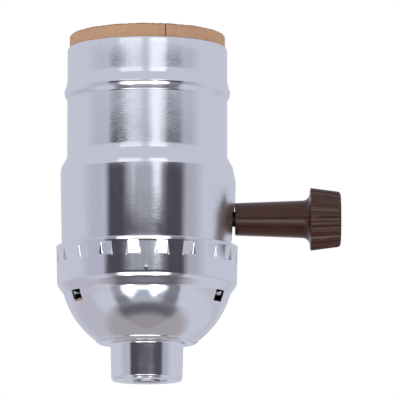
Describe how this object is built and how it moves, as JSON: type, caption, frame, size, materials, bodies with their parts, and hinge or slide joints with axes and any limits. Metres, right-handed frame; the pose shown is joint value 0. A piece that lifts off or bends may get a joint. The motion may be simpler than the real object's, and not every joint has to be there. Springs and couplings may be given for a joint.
{
  "type": "lamp holder",
  "caption": "Turn-knob holder for a medium screw lamp: drawn metal shell and domed cap on a threaded bushing, with a fibre liner, a moulded switch body and a fluted knob.",
  "frame": {"origin": "on the lamp axis, at the bottom face of the threaded bushing", "axes": "+Z along the lamp axis towards the lamp, +X along the switch shaft towards the knob"},
  "size_m": [0.0597, 0.0382, 0.0731],
  "materials": {
    "shell_metal": "polished",
    "cap_metal": "polished",
    "bushing_metal": "polished",
    "fibre": "matt",
    "cap_fibre": "matt",
    "phenolic": "moulded",
    "knob_plastic": "moulded, slightly worn",
    "brass": "satin",
    "plated": "nickel plated",
    "screw_shell_metal": "rolled",
    "steel": "bright"
  },
  "bodies": {
    "holder": {"bushing": "bushing_metal", "set_screw": "steel", "cap": "cap_metal", "cap_insulator": "cap_fibre", "outer_shell": "shell_metal", "insulating_liner": "fibre", "body_base": "phenolic", "body_top": "phenolic", "body_rivets": "brass", "screw_shell": "screw_shell_metal", "shell_screws": "plated", "centre_contact": "brass", "contact_rivet": "brass", "line_terminal": "brass", "line_screw": "brass", "neutral_terminal": "plated", "neutral_screw": "plated", "detent_spring": "steel"},
    "switch": {"knob": "knob_plastic", "switch_shaft": "steel", "switch_rotor": "phenolic", "bridge_contact": "brass", "detent_cam": "steel", "shaft_clip": "steel"}
  },
  "joints": [
    {"name": "knob_turn", "type": "hinge", "parent": "holder", "child": "switch", "pos_m": [0, 0, 0.0341], "axis": [1, 0, 0], "continuous": true}
  ]
}
